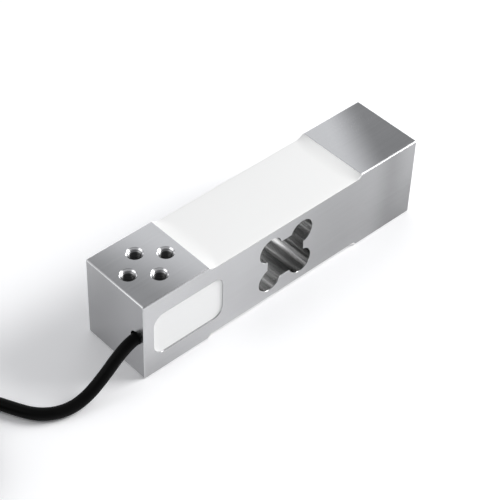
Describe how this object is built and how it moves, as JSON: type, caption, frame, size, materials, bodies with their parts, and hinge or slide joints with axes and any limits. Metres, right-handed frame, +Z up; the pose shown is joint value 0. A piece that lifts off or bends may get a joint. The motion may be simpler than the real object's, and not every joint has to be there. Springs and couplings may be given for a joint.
{
  "type": "single point load cell",
  "caption": "Aluminium beam load cell with a lobed window, silicone-covered strain gauges, a potted side pocket, tapped mounting holes and a free cable.",
  "frame": {"origin": "middle of the block's underside, on the surface that the cell stands on", "axes": "+X along the block from the cable end to the load end, +Z up; the terminal pocket faces -Y"},
  "size_m": [0.3191, 0.0482, 0.04],
  "materials": {
    "machined_aluminium": "fine milled and lightly ground",
    "white_silicone": "smooth cast silicone, satin",
    "gauge_film": "translucent amber film",
    "gauge_foil": "etched resistance foil",
    "enamelled_wire": "enamelled copper",
    "terminal_laminate": "bare glass laminate",
    "board_laminate": "solder mask",
    "solder": "tinned",
    "resistor_black": "glazed",
    "bore_sealant": "cured bead",
    "cable_jacket": "smooth extruded jacket, semi-gloss",
    "tie_plastic": "soft strap",
    "core_red": "core insulation",
    "core_black": "core insulation",
    "core_green": "core insulation",
    "core_white": "core insulation",
    "tinned_copper": "tinned strands"
  },
  "bodies": {
    "root": {"black_core_in_pocket": "core_black", "black_lead": "core_black", "bottom_bridge_wires": "enamelled_wire", "bottom_cable_side_gauge_film": "gauge_film", "bottom_cable_side_gauge_foil": "gauge_foil", "bottom_cable_side_gauge_leads": "enamelled_wire", "bottom_gauge_cover": "white_silicone", "bottom_load_side_gauge_film": "gauge_film", "bottom_load_side_gauge_foil": "gauge_foil", "bottom_load_side_gauge_leads": "enamelled_wire", "bottom_terminal_strip": "terminal_laminate", "bottom_terminal_strip_pads": "solder", "cable_hank": "cable_jacket", "cable_lead": "cable_jacket", "cable_seal": "bore_sealant", "cable_tail": "cable_jacket", "circuit_board": "board_laminate", "circuit_board_pads": "solder", "green_core_in_pocket": "core_green", "green_lead": "core_green", "hank_ties": "tie_plastic", "output_trim_resistor": "resistor_black", "pocket_filling": "white_silicone", "red_core_in_pocket": "core_red", "red_lead": "core_red", "shield_core_in_pocket": "tinned_copper", "shield_lead": "tinned_copper", "span_trim_resistor": "resistor_black", "spring_body": "machined_aluminium", "tinned_lead_ends": "tinned_copper", "top_bridge_wires": "enamelled_wire", "top_cable_side_gauge_film": "gauge_film", "top_cable_side_gauge_foil": "gauge_foil", "top_cable_side_gauge_leads": "enamelled_wire", "top_gauge_cover": "white_silicone", "top_load_side_gauge_film": "gauge_film", "top_load_side_gauge_foil": "gauge_foil", "top_load_side_gauge_leads": "enamelled_wire", "top_terminal_strip": "terminal_laminate", "top_terminal_strip_pads": "solder", "white_core_in_pocket": "core_white", "white_lead": "core_white", "zero_balance_resistor": "resistor_black"}
  },
  "joints": []
}
